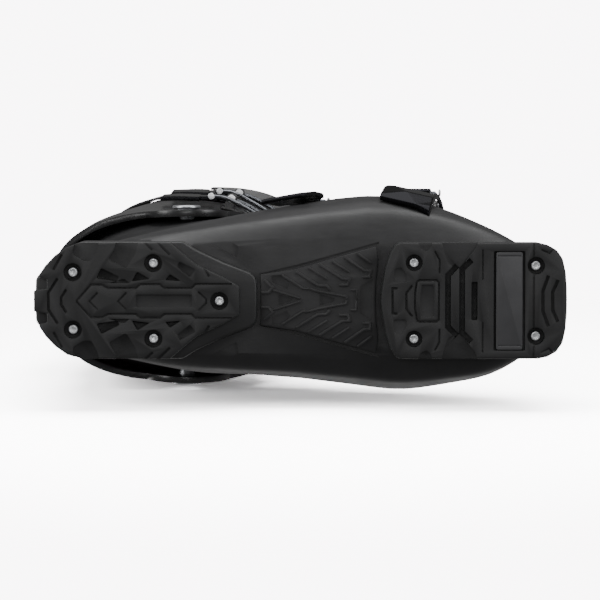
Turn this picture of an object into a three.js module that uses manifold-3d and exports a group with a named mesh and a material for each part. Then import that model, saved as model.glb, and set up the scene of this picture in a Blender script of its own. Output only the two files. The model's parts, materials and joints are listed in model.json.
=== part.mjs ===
// Alpine ski boot for a right foot, standing on its sole. Millimetres, +Z up, +X toward the toe, +Y toward
// the inner side of the foot. The origin is on the tread, in the middle of the heel's flat centre plate.
import * as THREE from "three";
import { mergeVertices } from "three/addons/utils/BufferGeometryUtils.js";
import Module from "manifold-3d";

const wasm = await Module();
wasm.setup();

// Sole
const soleLength = 316;
const heelReach = 45;
const heelHalfWidth = 35;
const toeHalfWidth = 34.5;
const heelLugTop = 30;
const toeLugTop = 19;
const treadThickness = 9;
const heelSoleLength = 122;
const toeSoleLength = 109;
const archClearance = 14;
const archPanelThickness = 3;
const insertLength = 15.6;
const insertHalfWidth = 29;
const insertSetback = 26.4;
const insertDepth = 3;

// Fasteners
const screwHeadRadius = 2.9;
const screwHeadHeight = 2.4;
const screwShankRadius = 1.8;
const screwLength = 12;
const screwRecessRadius = 5.2;
const screwRecessDepth = 5;
const rivetRadius = 3;
const rivetHeight = 1.6;

// Lower shell and cuff
const shellWall = 5;
const shellFloor = 20;
const cuffWall = 4;
const ankleX = 41;
const ankleZ = 105;
const collarRear = 138;
const collarFront = 117;
const cuffTopRear = 304;
const cuffTopFront = 262;
const cuffLobeRadius = 28;
const pivotRadius = 5.7;
const pivotHeadRadius = 9;
const flexForward = 12;
const flexBack = 5;

// Liner
const boardThickness = 5;
const linerThickness = 9;
const insoleThickness = 3;
const linerTop = 322;
const tongueTop = 334;
const tongueHalfWidth = 24;

// Buckles
const wireRadius = 1.5;
const leverLength = 44;
const leverHalfWidth = 15.5;
const earHalfWidth = 10.3;
const eyeHalfWidth = 8.7;
const knuckleHalfWidth = 7.3;
const knuckleRadius = 3.6;
const knuckleStandOff = 7.8;
const bailHalfWidth = 12.3;
const bailArm = 12;
const baseThickness = 2;
const leverThickness = 3;
const leverStandOff = 1.8;
const ladderThickness = 2.5;
const toothHeight = 1.4;
const toothPitch = 9;

// Power strap
const strapWidth = 44;
const strapThickness = 2.2;

// Clearances
const gap = 0.3;
const slide = 1.5;

const heelRear = -heelReach;
const toeTip = heelRear + soleLength;
const solePlane = treadThickness;
const heelSoleFront = heelRear + heelSoleLength;
const toeSoleRear = toeTip - toeSoleLength;

const boot = new THREE.Group();

function finish(color, roughness, metalness) {
  return new THREE.MeshStandardMaterial({ color, roughness, metalness });
}

// Smooth curve through [place, value] pairs, level past its ends
function along(table, at) {
  const last = table.length - 1;
  if (at <= table[0][0]) return table[0][1];
  if (at >= table[last][0]) return table[last][1];
  let i = 0;
  while (at > table[i + 1][0]) i += 1;
  const slope = (k) => {
    const before = table[Math.max(k - 1, 0)];
    const after = table[Math.min(k + 1, last)];
    return (after[1] - before[1]) / (after[0] - before[0]);
  };
  const span = table[i + 1][0] - table[i][0];
  const u = (at - table[i][0]) / span;
  const start = (1 + 2 * u) * (1 - u) ** 2 * table[i][1] + u * (1 - u) ** 2 * span * slope(i);
  const end = u * u * (3 - 2 * u) * table[i + 1][1] + u * u * (u - 1) * span * slope(i + 1);
  return start + end;
}

// Closed geometry to solid, with shared corners merged and empty triangles left out
function solid(geometry) {
  const bare = new THREE.BufferGeometry();
  bare.setAttribute("position", geometry.getAttribute("position"));
  if (geometry.index) bare.setIndex(geometry.index);
  const merged = mergeVertices(bare, 1e-4);
  const index = merged.index.array;
  const triangles = [];
  for (let i = 0; i < index.length; i += 3) {
    const corners = [index[i], index[i + 1], index[i + 2]];
    if (new Set(corners).size === 3) triangles.push(...corners);
  }
  const vertProperties = new Float32Array(merged.getAttribute("position").array);
  return new wasm.Manifold(new wasm.Mesh({ numProp: 3, vertProperties, triVerts: new Uint32Array(triangles) }));
}

function add(name, body, material) {
  const mesh = body.getMesh();
  const geometry = new THREE.BufferGeometry();
  geometry.setAttribute("position", new THREE.BufferAttribute(new Float32Array(mesh.vertProperties), 3));
  geometry.setIndex(new THREE.BufferAttribute(new Uint32Array(mesh.triVerts), 1));
  geometry.computeVertexNormals();
  const piece = new THREE.Mesh(geometry, material);
  piece.name = name;
  boot.add(piece);
}

function shapeOf(points) {
  return new THREE.Shape(points.map(([x, y]) => new THREE.Vector2(x, y)));
}

// Outline symmetric about y = 0 from its +Y half
function mirrored(half) {
  const other = half.filter(([, y]) => y !== 0).map(([x, y]) => [x, -y]).reverse();
  return [...half, ...other];
}

// Level plate with its outline in X and Y
function plate(points, bottom, top) {
  const geometry = new THREE.ExtrudeGeometry(shapeOf(points), { depth: top - bottom, bevelEnabled: false });
  return solid(geometry.translate(0, 0, bottom));
}

// Prism along Y with its outline in X and Z
function sideways(points, from, to) {
  const geometry = new THREE.ExtrudeGeometry(shapeOf(points), { depth: to - from, bevelEnabled: false });
  return solid(geometry.rotateX(Math.PI / 2).translate(0, to, 0));
}

function block(x0, x1, y0, y1, z0, z1) {
  const box = new THREE.BoxGeometry(x1 - x0, y1 - y0, z1 - z0);
  return solid(box.translate((x0 + x1) / 2, (y0 + y1) / 2, (z0 + z1) / 2));
}

// Round bar from one point to another
function bar(from, to, radius, sides = 16) {
  const start = Array.isArray(from) ? new THREE.Vector3(...from) : from.clone();
  const end = Array.isArray(to) ? new THREE.Vector3(...to) : to.clone();
  const geometry = new THREE.CylinderGeometry(radius, radius, start.distanceTo(end), sides);
  const turn = new THREE.Quaternion().setFromUnitVectors(
    new THREE.Vector3(0, 1, 0),
    end.clone().sub(start).normalize(),
  );
  geometry.applyQuaternion(turn);
  const middle = start.add(end).multiplyScalar(0.5);
  return solid(geometry.translate(middle.x, middle.y, middle.z));
}

// Skin through level rings: ring(z, angle) gives the x and y of each corner
function loft(levels, around, ring) {
  const skin = new THREE.CylinderGeometry(1, 1, 1, around, levels.length - 1);
  const position = skin.getAttribute("position");
  for (let i = 0; i < position.count; i += 1) {
    const z = levels[Math.round((position.getY(i) + 0.5) * (levels.length - 1))];
    const angle = Math.atan2(-position.getZ(i), position.getX(i));
    const onRim = Math.hypot(position.getX(i), position.getZ(i)) > 0.5;
    const [x, y] = onRim ? ring(z, angle) : ring(z, null);
    position.setXYZ(i, x, y, z);
  }
  return solid(skin);
}

// Lower shell: half-widths at the sole, at the belly and at the ankle, by share of the sole's length
const soleWidth = [[0, 33], [0.35, 32], [0.55, 33], [1, 33]];
const bellyOuter = [[0, 31], [0.14, 38], [0.3, 46], [0.44, 53.5], [0.63, 62], [0.74, 59], [0.85, 50], [1, 34]];
const bellyInner = [[0, 31], [0.14, 38], [0.3, 46], [0.44, 46], [0.6, 49], [0.7, 52.5], [0.86, 45], [1, 34]];
const ankleOuter = [[0, 46], [0.4, 46], [0.55, 42], [1, 36]];
const ankleInner = [[0, 49], [0.4, 48], [0.55, 44], [1, 36]];
const shellRear = [[14, -38], [32, -37], [60, -33.5], [100, -33.5], [120, -32], [145, -27]];
const shellFrontShare = [
  [14, 0], [36, -0.02], [50, 0], [60, 0.05], [68, 0.12], [75, 0.23], [82, 0.37], [90, 0.55],
  [98, 0.7], [108, 0.84], [118, 0.945], [130, 0.98], [145, 1],
];
const bellyShare = [[14, 0], [22, 0.55], [32, 0.9], [42, 1]];
const ankleShare = [[55, 0], [75, 0.4], [100, 1]];
const shellSquareness = [[14, 5], [40, 3.6], [70, 2.9], [100, 2.6]];
const throatReach = 53;
const toeBoxSetback = 13;

function shellSection(z, offset) {
  const level = z - offset;
  const nose = toeTip - toeBoxSetback;
  const throat = ankleX + throatReach;
  return {
    rear: along(shellRear, z) - offset,
    front: THREE.MathUtils.lerp(nose, throat, along(shellFrontShare, z < 50 ? z : level)) + offset,
    power: along(shellSquareness, z),
  };
}

function shellHalfWidth(x, z, side) {
  const share = (x - heelRear) / soleLength;
  const sole = along(soleWidth, share);
  const belly = along(side < 0 ? bellyOuter : bellyInner, share);
  const ankle = along(side < 0 ? ankleOuter : ankleInner, share);
  const low = THREE.MathUtils.lerp(sole, belly, along(bellyShare, z));
  return THREE.MathUtils.lerp(low, ankle, along(ankleShare, z));
}

// Ring point of a rounded outline: section gives its ends, width its half-width at each place
function ringPoint(section, angle, width) {
  const middle = (section.rear + section.front) / 2;
  if (angle === null) return [middle, 0];
  const half = (section.front - section.rear) / 2;
  const exponent = 2 / section.power;
  const exact = (value) => (Math.abs(value) < 1e-9 ? 0 : value);
  const forward = exact(Math.cos(angle));
  const aside = exact(Math.sin(angle));
  const x = middle + half * Math.sign(forward) * Math.abs(forward) ** exponent;
  const side = Math.sign(aside);
  return [x, side * width(x, side) * Math.abs(aside) ** exponent];
}

const shellLevels = [14, 18, 24, 32, 42, 52, 60, 66, 71, 76, 81, 86, 92, 98, 105, 113, 122, 133, 146];

function shellHull(offset, bottom, top, around = 36) {
  const fine = around > 30 ? 1 : 2;
  const between = shellLevels.filter((z, i) => i % fine === 0 && z > bottom + 2 && z < top - 2);
  const levels = [bottom, ...between, top];
  return loft(levels, around, (z, angle) =>
    ringPoint(shellSection(z, offset), angle, (x, side) => shellHalfWidth(x, z, side) + offset),
  );
}

// Cuff: ends and half-width of its outer surface by height
const cuffRearLine = [[70, -43.5], [110, -44], [150, -41], [200, -35], [260, -26], [330, -12]];
const cuffFrontLine = [[70, 142], [110, 126], [137, 108], [170, 104], [220, 110], [300, 127], [335, 133]];
const cuffHalfWidth = [[70, 54], [120, 54], [160, 55], [220, 58], [300, 63], [335, 64]];
const cuffInward = 1.5;
const cuffPower = 2.6;
const cuffLevels = [70, 92, 112, 132, 155, 180, 205, 230, 255, 280, 305, 335];

function cuffSection(z, offset) {
  return { rear: along(cuffRearLine, z) - offset, front: along(cuffFrontLine, z) + offset, power: cuffPower };
}

function cuffHull(offset, bottom, top, around = 36) {
  const levels = [bottom, ...cuffLevels.filter((z) => z > bottom + 3 && z < top - 3), top];
  return loft(levels, around, (z, angle) =>
    ringPoint(cuffSection(z, offset), angle, (x, side) => along(cuffHalfWidth, z) + side * cuffInward + offset),
  );
}

// Outline of the rounded section at one place between its ends, as a share of its half-width
function fullness(section, x) {
  const middle = (section.rear + section.front) / 2;
  const reach = Math.min(Math.abs(x - middle) / ((section.front - section.rear) / 2), 1);
  return (1 - reach ** section.power) ** (1 / section.power);
}

// Turned about the ankle axis
function flexed(body, degrees) {
  return body.translate([-ankleX, 0, -ankleZ]).rotate([0, degrees, 0]).translate([ankleX, 0, ankleZ]);
}

// Sole outlines, from the heel's rear end and from the toe tip
const heelOutline = mirrored([
  [0, 0], [0.4, 13], [3, 16], [12.6, 27], [27.8, heelHalfWidth - 0.6],
  [80.8, heelHalfWidth - 0.6], [88.4, 27.8], [96.8, 21], [112, 13.9], [heelSoleLength, 8.4], [heelSoleLength, 0],
].map(([x, y]) => [heelRear + x, y]));
const heelBlockOutline = mirrored([
  [0, 0], [0.4, 13], [3, 16], [12.6, 27], [27.8, heelHalfWidth], [88, heelHalfWidth], [128, 17], [132, 15], [132, 0],
].map(([x, y]) => [heelRear + x, y]));
const toeOutline = mirrored([
  [-toeSoleLength - 1, 0], [-107.5, 12], [-106, 22], [-103, 31], [-100, toeHalfWidth], [-17, toeHalfWidth],
  [-8, 31.5], [-2.5, 22], [-0.4, 10], [0, 0],
].map(([x, y]) => [toeTip + x, y]));

const heelScrews = [[23.2, 17], [23.2, -17], [70.9, 22.4], [70.9, -22.4], [110, 0]].map(([x, y]) => [heelRear + x, y]);
const toeScrews = [[-90.6, 22.6], [-90.6, -22.6], [-18.4, 20.9], [-18.4, -20.9]].map(([x, y]) => [toeTip + x, y]);
const screws = [...heelScrews, ...toeScrews];

const screwSeat = screwRecessDepth - gap;
const screwTop = screwSeat + screwLength;

function screwHole(x, y) {
  return bar([x, y, 1], [x, y, screwTop + 1], screwShankRadius + gap, 12);
}

function addScrew(name, x, y) {
  const profile = [
    [0, screwSeat - screwHeadHeight],
    [screwHeadRadius - 0.6, screwSeat - screwHeadHeight],
    [screwHeadRadius, screwSeat - screwHeadHeight + 0.6],
    [screwHeadRadius, screwSeat],
    [screwShankRadius, screwSeat],
    [screwShankRadius, screwTop - 1],
    [0, screwTop],
  ].map(([r, z]) => new THREE.Vector2(r, z));
  const body = solid(new THREE.LatheGeometry(profile, 14).rotateX(Math.PI / 2).translate(x, y, 0));
  add(name, body, finish(0xc4c6c8, 0.35, 1));
}

function soleWithRecesses(outline, places) {
  let body = plate(outline, 0, treadThickness - gap);
  for (const [x, y] of places) {
    body = body.subtract(bar([x, y, -1], [x, y, screwRecessDepth], screwRecessRadius, 20));
    body = body.subtract(screwHole(x, y));
  }
  return body;
}

// Shallow pocket in a tread: an outline cut from below
const pocketDepth = 2.5;

function pocket(points, x0, side) {
  return plate(side > 0 ? points.map(([x, y]) => [x0 + x, y]) : points.map(([x, y]) => [x0 + x, -y]).reverse(),
    -1, pocketDepth);
}

function addHeelSole() {
  let body = soleWithRecesses(heelOutline, heelScrews);
  const pads = [
    [[34, 23.5], [38.8, 36], [24.8, 36], [22.8, 27.8], [29.4, 23.5]],
    [[54.7, 18.9], [62.3, 36], [48.8, 36], [44.2, 24.8]],
    [[50, 11.3], [50.9, 14.3], [40, 19.7], [36.7, 13.4]],
    [[58.1, 11.3], [68.9, 13], [61.4, 17.5]],
  ];
  for (const side of [1, -1]) {
    for (const pad of pads) body = body.subtract(pocket(pad, heelRear, side));
  }
  add("heel_sole", body, finish(0x2d2d2e, 0.75, 0));
}

function addToeSole() {
  let body = soleWithRecesses(toeOutline, toeScrews);
  const insertFront = toeTip - insertSetback;
  const insertRear = insertFront - insertLength;
  body = body.subtract(block(insertRear - gap, insertFront + gap, -insertHalfWidth - gap, insertHalfWidth + gap,
    -1, insertDepth + gap));
  const pads = [
    [[-64, 18.2], [-52.7, 36], [-74.4, 36], [-74, 24.7]],
    [[-68.4, 0], [-68.4, 17.3], [-60, 20.7], [-64, 20.7], [-72.8, 17.3], [-72.8, 0]],
    [[-53.1, 0], [-53.1, 11.3], [-56.7, 11.3], [-56.7, 0]],
  ];
  for (const side of [1, -1]) {
    for (const pad of pads) body = body.subtract(pocket(pad, toeTip, side));
  }
  add("toe_sole", body, finish(0x2d2d2e, 0.75, 0));
  const insert = block(insertRear, insertFront, -insertHalfWidth, insertHalfWidth, gap, insertDepth);
  add("toe_insert", insert, finish(0x4b4b4b, 0.45, 0));
}

// Moulded cover under the arch, wider toward the forefoot
const archOutline = mirrored([
  [heelRear + 134, 0], [heelRear + 134, 15.7], [toeSoleRear - 4, 33], [toeSoleRear - 5.5, 0],
]);
const archBottom = archClearance - gap - archPanelThickness;

function addArchPanel() {
  let body = plate(archOutline, archBottom, archClearance - gap);
  const ribs = 3;
  for (let i = 0; i < ribs; i += 1) {
    const x = heelRear + 152 + i * 14;
    for (const side of [1, -1]) {
      const slot = [[x, 4 * side], [x + 3, 4 * side], [x - 7, 14 * side], [x - 10, 14 * side]];
      body = body.subtract(plate(side > 0 ? slot : slot.reverse(), archBottom - 1, archBottom + 1));
    }
  }
  add("arch_panel", body, finish(0x2b2b2c, 0.6, 0));
}

// Region above the collar's slanted rim
const collarTilt = (collarFront - collarRear) / (ankleX + throatReach - along(shellRear, collarRear));

function rimHeight(x) {
  return collarRear + (x - along(shellRear, collarRear)) * collarTilt;
}

function aboveRim(drop) {
  return sideways([
    [-100, rimHeight(-100) - drop], [200, rimHeight(200) - drop], [200, 400], [-100, 400],
  ], -100, 100);
}

const shellOuter = shellHull(0, archClearance, 146);

function addLowerShell() {
  let body = shellOuter;
  body = body.add(plate(heelBlockOutline, solePlane, heelLugTop));
  body = body.add(plate(toeOutline, solePlane, toeLugTop));
  body = body.subtract(shellHull(-shellWall, shellFloor, 150, 28));
  body = body.subtract(aboveRim(0));
  for (const [x, y] of screws) body = body.subtract(screwHole(x, y));
  body = body.subtract(bar([ankleX, -80, ankleZ], [ankleX, 80, ankleZ], pivotRadius + gap, 20));
  add("lower_shell", body, finish(0x323232, 0.55, 0));
}

function addBootBoard() {
  const inside = shellHull(-shellWall - slide, shellFloor + gap, shellFloor + gap + boardThickness, 28);
  add("boot_board", inside, finish(0x3c3f42, 0.7, 0));
}

const linerFloor = shellFloor + boardThickness + 2 * gap;
const linerSkin = shellWall + slide;

function addFootLiner() {
  let body = shellHull(-linerSkin, linerFloor, 146, 28);
  body = body.subtract(shellHull(-linerSkin - linerThickness, linerFloor + 4, 150, 24));
  body = body.subtract(aboveRim(3));
  add("liner_foot", body, finish(0x1f1f20, 0.95, 0));
  const insoleBottom = linerFloor + 4 + gap;
  const insole = shellHull(-linerSkin - linerThickness - slide, insoleBottom, insoleBottom + insoleThickness, 24);
  add("insole", insole, finish(0x55585c, 0.9, 0));
}

// Everything that the lower shell fills while the cuff swings about the ankle
function sweptShell(clearance) {
  const hull = shellHull(clearance, archClearance, 146, 24).subtract(aboveRim(-clearance));
  const steps = 4;
  let swept = hull;
  for (let i = 0; i <= steps; i += 1) {
    const angle = -flexForward + ((flexForward + flexBack) * i) / steps;
    swept = swept.add(flexed(hull, angle));
  }
  return swept;
}

// Region of the cuff below its hem: low behind, a round lobe at the ankle, high over the instep
function belowHem() {
  const lobe = [];
  const steps = 8;
  for (let i = 0; i <= steps; i += 1) {
    const angle = THREE.MathUtils.degToRad(208 + (142 * i) / steps);
    lobe.push([ankleX + cuffLobeRadius * Math.cos(angle), ankleZ + cuffLobeRadius * Math.sin(angle)]);
  }
  const hem = [[-90, 30], [150, 30], [150, 140], [ankleX + 62, 133], ...lobe.reverse(), [ankleX - 50, 88], [-90, 86]];
  return sideways(hem, -100, 100);
}

function aboveCuffTop(rise) {
  return sideways([
    [-60, cuffTopRear + rise], [20, cuffTopRear - 4 + rise], [160, cuffTopFront + rise], [160, 400], [-60, 400],
  ], -100, 100);
}

const lockBarHalfWidth = 5;
const lockSlotTop = 118;
const frontSlit = 2;
const frontSlitY = 16;

function addCuffShell() {
  let body = cuffHull(0, 70, 310);
  body = body.subtract(cuffHull(-cuffWall, 60, 320, 32));
  body = body.subtract(belowHem());
  body = body.subtract(aboveCuffTop(0));
  body = body.subtract(bar([ankleX, -80, ankleZ], [ankleX, 80, ankleZ], pivotRadius + gap, 20));
  body = body.subtract(block(-60, -25, -lockBarHalfWidth - 1, lockBarHalfWidth + 1, 60, lockSlotTop));
  body = body.subtract(block(ankleX, 160, frontSlitY, frontSlitY + frontSlit, 60, 320));
  add("cuff_shell", body, finish(0x29292a, 0.35, 0));
}

function addCuffPivots() {
  const inner = { lateral: -1, medial: 1 };
  for (const [name, side] of Object.entries(inner)) {
    const wall = along(cuffHalfWidth, ankleZ) + side * cuffInward;
    const head = wall + gap;
    const end = wall - cuffWall - slide - shellWall;
    const shank = bar([ankleX, side * end, ankleZ], [ankleX, side * (head + 1), ankleZ], pivotRadius, 20);
    const cap = bar([ankleX, side * head, ankleZ], [ankleX, side * (head + 2.5), ankleZ], pivotHeadRadius, 24);
    add(`cuff_pivot_${name}`, shank.add(cap), finish(0xb4b6b8, 0.35, 1));
  }
}

const cuffLinerSkin = cuffWall + slide;
const tongueOpening = 0.5;

function tongueRegion(extra, top) {
  const half = tongueHalfWidth + extra;
  return block(ankleX + 20, 170, -half, half, 100, top);
}

function addCuffLiner() {
  const swept = sweptShell(slide);
  let body = cuffHull(-cuffLinerSkin, 112, linerTop, 28);
  body = body.subtract(cuffHull(-cuffLinerSkin - linerThickness, 100, 330, 24));
  body = body.subtract(swept);
  const tongue = cuffHull(-cuffLinerSkin, 112, 335, 28)
    .subtract(cuffHull(-cuffLinerSkin - linerThickness - 3, 100, 340, 24))
    .subtract(swept)
    .intersect(tongueRegion(0, tongueTop));
  body = body.subtract(tongueRegion(tongueOpening, 400));
  add("liner_cuff", body, finish(0x1f1f20, 0.95, 0));
  add("liner_tongue", tongue, finish(0x262627, 0.95, 0));
}

// Power strap round the top of the cuff
const strapOffset = 0.5;
const strapRearTop = 292;
const strapFrontTop = 280;

function strapBand() {
  return sideways([
    [-80, strapRearTop - strapWidth], [160, strapFrontTop - strapWidth], [160, strapFrontTop], [-80, strapRearTop],
  ], -100, 100);
}

function addPowerStrap() {
  const ring = cuffHull(strapOffset + strapThickness, 220, 320).subtract(cuffHull(strapOffset, 210, 330));
  add("power_strap", ring.intersect(strapBand()), finish(0x1c1c1d, 0.9, 0));
  const lap = strapOffset + strapThickness + gap;
  const flap = cuffHull(lap + strapThickness, 220, 320).subtract(cuffHull(lap, 210, 330)).intersect(strapBand());
  add("strap_flap", flap.intersect(block(ankleX + 8, ankleX + 72, -90, -14, 200, 320)), finish(0x1c1c1d, 0.9, 0));
}

// Rear spine, walk lever and the bar that locks the cuff to the lower shell
const spineHalfWidth = 20;
const spineBottom = 150;
const spineTop = 240;
const spineThickness = 3;
const leverHinge = 214;
const leverDrop = 62;
const walkLeverHalfWidth = 8;
const walkLeverThickness = 4;
const lockBarBottom = 60;
const lockBarThickness = 3;
const bracketInner = 6.8;
const bracketOuter = 10.4;
const bracketBottom = 52;
const bracketTop = 72;
const bracketReach = 46.2;

const hingeX = along(cuffRearLine, leverHinge) - spineThickness - 5;

function addRearLock() {
  let spine = cuffHull(gap + spineThickness, 120, 260).subtract(cuffHull(gap, 110, 270));
  spine = spine.intersect(block(-80, 0, -spineHalfWidth, spineHalfWidth, spineBottom, spineTop));
  for (const side of [1, -1]) {
    const inside = side * (walkLeverHalfWidth + gap);
    const outside = side * (walkLeverHalfWidth + gap + 3);
    const ear = block(hingeX - 3, hingeX + 6.5, Math.min(inside, outside), Math.max(inside, outside),
      leverHinge - 4, leverHinge + 4);
    spine = spine.add(ear);
  }
  const hole = bar([hingeX, -30, leverHinge], [hingeX, 30, leverHinge], 1.5 + gap, 12);
  add("rear_spine", spine.subtract(hole), finish(0x2a2a2b, 0.5, 0));

  const pinReach = walkLeverHalfWidth + gap + 3;
  const pin = bar([hingeX, -pinReach, leverHinge], [hingeX, pinReach, leverHinge], 1.5, 12);
  add("walk_lever_pin", pin, finish(0xb4b6b8, 0.35, 1));

  const lean = 0.12 * leverDrop;
  const grip = sideways([
    [hingeX - 2, leverHinge + 2], [hingeX - 2 - lean, leverHinge - leverDrop + 6],
    [hingeX - 6 - lean, leverHinge - leverDrop], [hingeX - 1.5 - lean + walkLeverThickness - 4, leverHinge - leverDrop],
    [hingeX + 1.6, leverHinge + 2],
  ].reverse(), -walkLeverHalfWidth, walkLeverHalfWidth);
  const knuckle = bar([hingeX, -walkLeverHalfWidth, leverHinge], [hingeX, walkLeverHalfWidth, leverHinge], 3.4, 16);
  add("walk_lever", grip.add(knuckle).subtract(hole), finish(0x3a3a3c, 0.4, 0));

  const barOuter = along(cuffRearLine, 90) + 0.6;
  const lockBar = block(barOuter, barOuter + lockBarThickness, -lockBarHalfWidth, lockBarHalfWidth,
    lockBarBottom, lockSlotTop - gap);
  add("lock_bar", lockBar, finish(0xb4b6b8, 0.35, 1));

  let bracket = block(-bracketReach, -20, -bracketOuter, bracketOuter, bracketBottom, bracketTop);
  bracket = bracket.subtract(block(-bracketReach - 1, along(shellRear, 60) - gap - 1.4, -bracketInner, bracketInner,
    bracketBottom - 1, bracketTop + 1));
  bracket = bracket.subtract(shellHull(gap, archClearance, 146));
  add("lock_bracket", bracket, finish(0xd0d2d4, 0.3, 1));
}

// The two surfaces that carry buckles, with the half-width on one side at a place and a height over it
const shellSurface = {
  hull: (offset, more) => shellHull(offset, 20 - more, 138 + more),
  width: (x, z, side, offset) =>
    (shellHalfWidth(x, z, side) + offset) * fullness(shellSection(z, offset), x),
};
const cuffSurface = {
  hull: (offset, more) => cuffHull(offset, 130 - more, 266 + more),
  width: (x, z, side, offset) =>
    (along(cuffHalfWidth, z) + side * cuffInward + offset) * fullness(cuffSection(z, offset), x),
};

const ladderHalfWidth = 8;
const toothLength = 2;
const toothGap = 2.4;
const hookHeight = gap + ladderThickness + wireRadius + 0.4;

// One buckle, hinged at x and z on the outer side. Its axis is turned down from +X by tilt degrees;
// s runs from the hinge along the closed lever, w along the axis.
function addBuckle(name, { surface, x, z, tilt, hookY, teeth }) {
  const turn = THREE.MathUtils.degToRad(tilt);
  const across = new THREE.Vector3(Math.cos(turn), 0, -Math.sin(turn));
  const up = new THREE.Vector3(Math.sin(turn), 0, Math.cos(turn));
  const spot = (s, w) => new THREE.Vector3(x, 0, z).addScaledVector(across, w).addScaledVector(up, -s);
  const depth = (s, w, offset) => {
    const at = spot(s, w);
    return -surface.width(at.x, at.z, -1, offset);
  };
  // Place at a height over the surface, along its normal
  const seat = (s, height, w = 0) => {
    const reach = 4;
    const normal = new THREE.Vector2(-2 * reach, depth(s - reach, w, 0) - depth(s + reach, w, 0)).normalize();
    const at = spot(s, w).addScaledVector(up, normal.y * height);
    at.y = depth(s, w, 0) + normal.x * height;
    return at;
  };
  // Place over the surface at a distance from the middle plane
  const climb = (y, height, w) => {
    let low = 0;
    let high = 130;
    for (let step = 0; step < 30; step += 1) {
      const middle = (low + high) / 2;
      const at = spot(-middle, w);
      if (surface.width(at.x, at.z, Math.sign(y) || 1, height) > Math.abs(y)) low = middle;
      else high = middle;
    }
    const at = spot(-low, w);
    at.y = y;
    return at;
  };
  const region = (s0, s1, half, from = -90, to = hookY - 18) => {
    const corners = [spot(s0, -half), spot(s0, half), spot(s1, half), spot(s1, -half)];
    return sideways(corners.map((corner) => [corner.x, corner.z]), from, to);
  };
  const skin = (inner, outer) => surface.hull(outer, 0).subtract(surface.hull(inner, 5));
  const shifted = (place, w) => place.clone().addScaledVector(across, w);
  const round = (place, half, radius) => bar(shifted(place, -half), shifted(place, half), radius, 12);

  const pivot = seat(0, knuckleStandOff);
  const eye = seat(bailArm, knuckleStandOff - 0.6);
  const pinHole = round(pivot, 30, wireRadius + gap);

  let base = skin(gap, gap + baseThickness).intersect(region(-18, 5, earHalfWidth));
  const earFeet = [seat(0, gap), seat(0, knuckleStandOff / 2), pivot];
  for (const side of [1, -1]) {
    for (const middle of earFeet) {
      const inner = shifted(middle, side * (knuckleHalfWidth + gap));
      base = base.add(bar(inner, shifted(middle, side * earHalfWidth), knuckleRadius, 12));
    }
  }
  const rivetFoot = seat(-12, gap + 0.8);
  const rivetUnder = seat(-12, gap + baseThickness + gap);
  const rivetTop = seat(-12, gap + baseThickness + gap + rivetHeight);
  base = base.subtract(pinHole).subtract(surface.hull(gap, 5));
  base = base.subtract(bar(seat(-12, -1), rivetTop, rivetRadius - 1 + gap, 12));
  base = base.subtract(bar(seat(-12, gap + baseThickness), seat(-12, 12), rivetRadius + gap, 12));
  add(`${name}_base`, base, finish(0x2a2b2c, 0.4, 0.6));
  const rivet = bar(rivetFoot, rivetTop, rivetRadius - 1, 12).add(bar(rivetUnder, rivetTop, rivetRadius, 12));
  add(`${name}_rivet`, rivet, finish(0xd0d2d4, 0.3, 1));
  add(`${name}_pin`, round(pivot, earHalfWidth, wireRadius), finish(0xb4b6b8, 0.35, 1));

  const under = gap + baseThickness + leverStandOff;
  const blade = skin(under, under + leverThickness);
  let lever = blade.intersect(region(-3, 8, knuckleHalfWidth));
  lever = lever.add(blade.intersect(region(7, 20, eyeHalfWidth)));
  lever = lever.add(blade.intersect(region(19, leverLength, leverHalfWidth)));
  lever = lever.add(round(pivot, knuckleHalfWidth, knuckleRadius));
  lever = lever.add(round(eye, eyeHalfWidth, wireRadius + 1.3));
  lever = lever.subtract(pinHole).subtract(round(eye, 30, wireRadius + gap));
  add(`${name}_lever`, lever, finish(0x232324, 0.25, 0));

  const corner = 3;
  const steps = 4;
  const side = (w) => {
    const start = seat(-16, hookHeight, w).y;
    const places = [shifted(seat(3, knuckleStandOff - 0.2), w), seat(-8, hookHeight + 1.2, w)];
    for (let i = 0; i <= steps; i += 1) {
      places.push(climb(start + ((hookY - corner - start) * i) / steps, hookHeight, w));
    }
    return places;
  };
  const hookStart = climb(hookY, hookHeight, -bailHalfWidth);
  const hookEnd = climb(hookY, hookHeight, bailHalfWidth);
  const hookShare = corner / (2 * bailHalfWidth);
  const route = [
    shifted(eye, -eyeHalfWidth + 4), shifted(eye, -eyeHalfWidth), shifted(eye, -bailHalfWidth + 1.8),
    ...side(-bailHalfWidth),
    hookStart.clone().lerp(hookEnd, hookShare), hookStart.clone().lerp(hookEnd, 0.5),
    hookStart.clone().lerp(hookEnd, 1 - hookShare),
    ...side(bailHalfWidth).reverse(),
    shifted(eye, bailHalfWidth - 1.8), shifted(eye, eyeHalfWidth), shifted(eye, eyeHalfWidth - 4),
  ];
  const section = new THREE.Shape().absarc(0, 0, wireRadius, 0, 2 * Math.PI);
  const bail = new THREE.ExtrudeGeometry(section, {
    steps: 30,
    curveSegments: 3,
    bevelEnabled: false,
    extrudePath: new THREE.CatmullRomCurve3(route, false, "centripetal"),
  });
  add(`${name}_bail`, solid(bail), finish(0xa8aaac, 0.3, 1));

  const rack = (half, from, to) => region(-150, -5, half, from, to);
  let ladder = skin(gap, gap + ladderThickness).intersect(rack(ladderHalfWidth, hookY - 15, hookY + 24));
  const ridges = skin(gap + 0.5, gap + ladderThickness + toothHeight);
  for (let i = 0; i < teeth; i += 1) {
    const edge = hookY - wireRadius - toothGap + i * toothPitch;
    ladder = ladder.add(ridges.intersect(rack(ladderHalfWidth - 1, edge - toothLength, edge)));
  }
  add(`${name}_ladder`, ladder, finish(0x2a2b2c, 0.4, 0.6));
}

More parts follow.
